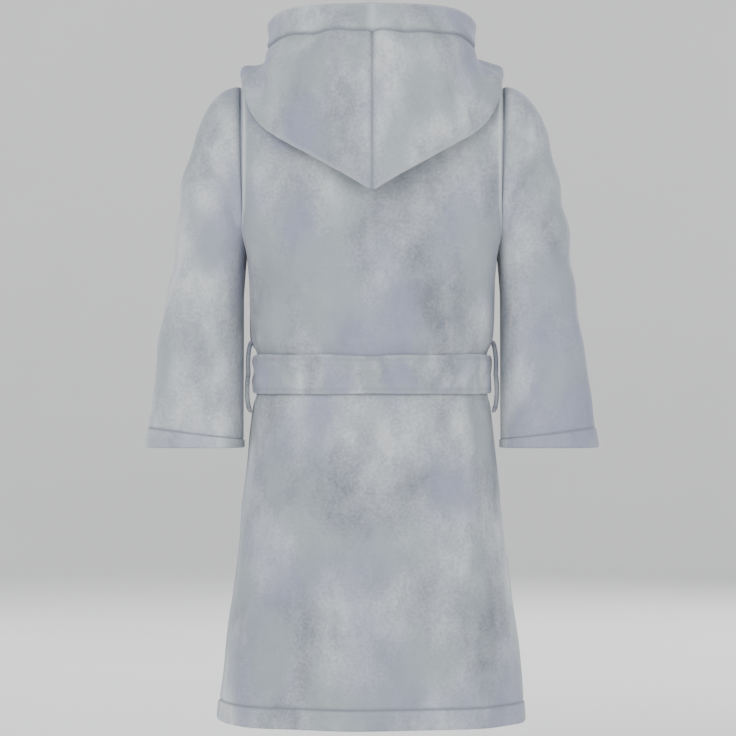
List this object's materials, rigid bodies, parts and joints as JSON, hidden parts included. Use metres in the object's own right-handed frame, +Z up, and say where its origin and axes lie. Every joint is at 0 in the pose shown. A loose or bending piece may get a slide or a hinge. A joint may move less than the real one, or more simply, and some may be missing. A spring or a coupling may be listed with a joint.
{
  "type": "hooded bathrobe",
  "caption": "Child-size hooded wrap bathrobe of plush fleece with long sleeves, tie belt through side loops, patch pockets and a back neck hanging loop; fronts, hood, sleeves, belt ends move.",
  "frame": {"origin": "middle of the underside of the hanging loop's top strap, inside the back of the neck", "axes": "+Z up along the back, towards the hood; +Y towards the back of the robe; +X towards the wearer's left"},
  "size_m": [0.477, 0.2639, 0.7464],
  "materials": {
    "back_panel": "soft plush pile",
    "left_front_side": "soft plush pile",
    "right_front_side": "soft plush pile",
    "left_front_upper": "soft plush pile",
    "right_front_upper": "soft plush pile",
    "hood_left_front_end": "soft plush pile",
    "hood_right_front_end": "soft plush pile",
    "belt_back_run": "soft plush pile",
    "left_belt_loop": "soft plush pile",
    "right_belt_loop": "soft plush pile",
    "neck_tape": "woven cotton tape",
    "hang_loop": "woven cotton tape",
    "neck_label": "plain woven satin ribbon",
    "care_label": "plain woven satin ribbon",
    "hood_left_panel": "soft plush pile",
    "hood_right_panel": "soft plush pile",
    "left_sleeve": "soft plush pile",
    "right_sleeve": "soft plush pile",
    "left_front_flap": "soft plush pile",
    "left_pocket": "soft plush pile",
    "belt_left_run": "soft plush pile",
    "belt_knot": "soft plush pile",
    "right_front_flap": "soft plush pile",
    "right_pocket": "soft plush pile",
    "belt_right_run": "soft plush pile",
    "belt_left_tail": "soft plush pile",
    "belt_right_tail": "soft plush pile"
  },
  "bodies": {
    "robe": {"back_panel": "back_panel", "left_front_side": "left_front_side", "right_front_side": "right_front_side", "left_front_upper": "left_front_upper", "right_front_upper": "right_front_upper", "hood_left_front_end": "hood_left_front_end", "hood_right_front_end": "hood_right_front_end", "belt_back_run": "belt_back_run", "left_belt_loop": "left_belt_loop", "right_belt_loop": "right_belt_loop", "neck_tape": "neck_tape", "hang_loop": "hang_loop", "neck_label": "neck_label", "care_label": "care_label"},
    "hood": {"hood_left_panel": "hood_left_panel", "hood_right_panel": "hood_right_panel"},
    "left_sleeve": {"left_sleeve": "left_sleeve"},
    "right_sleeve": {"right_sleeve": "right_sleeve"},
    "left_front": {"left_front_flap": "left_front_flap", "left_pocket": "left_pocket", "belt_left_run": "belt_left_run", "belt_knot": "belt_knot"},
    "right_front": {"right_front_flap": "right_front_flap", "right_pocket": "right_pocket", "belt_right_run": "belt_right_run"},
    "left_tail": {"belt_left_tail": "belt_left_tail"},
    "right_tail": {"belt_right_tail": "belt_right_tail"}
  },
  "joints": [
    {"name": "hood_lift", "type": "hinge", "parent": "robe", "child": "hood", "pos_m": [0, -0.0364, 0.0388], "axis": [1, 0, 0], "range_deg": [0, 90]},
    {"name": "left_sleeve_lift", "type": "hinge", "parent": "robe", "child": "left_sleeve", "pos_m": [0.1386, -0.0364, -0.0312], "axis": [0, -1, 0], "range_deg": [0, 45]},
    {"name": "right_sleeve_lift", "type": "hinge", "parent": "robe", "child": "right_sleeve", "pos_m": [-0.1386, -0.0364, -0.0312], "axis": [0, 1, 0], "range_deg": [0, 45]},
    {"name": "left_front_open", "type": "hinge", "parent": "robe", "child": "left_front", "pos_m": [0.132, -0.0984, -0.4542], "axis": [-0.053, -0.0082, 0.9986], "range_deg": [0, 50]},
    {"name": "right_front_open", "type": "hinge", "parent": "robe", "child": "right_front", "pos_m": [-0.132, -0.0984, -0.4542], "axis": [0.053, -0.0082, 0.9986], "range_deg": [-25, 0]},
    {"name": "left_tail_swing", "type": "hinge", "parent": "left_front", "child": "left_tail", "pos_m": [-0.0438, -0.1528, -0.3679], "axis": [-0.3498, -0.9351, 0.0568], "range_deg": [-18, 18]},
    {"name": "right_tail_swing", "type": "hinge", "parent": "right_front", "child": "right_tail", "pos_m": [-0.0733, -0.1344, -0.3683], "axis": [-0.3498, -0.9351, 0.0568], "range_deg": [-18, 18]}
  ],
  "couplings": [
    {"joint": "right_front_open", "follows": "left_front_open", "ratio": -0.5}
  ]
}
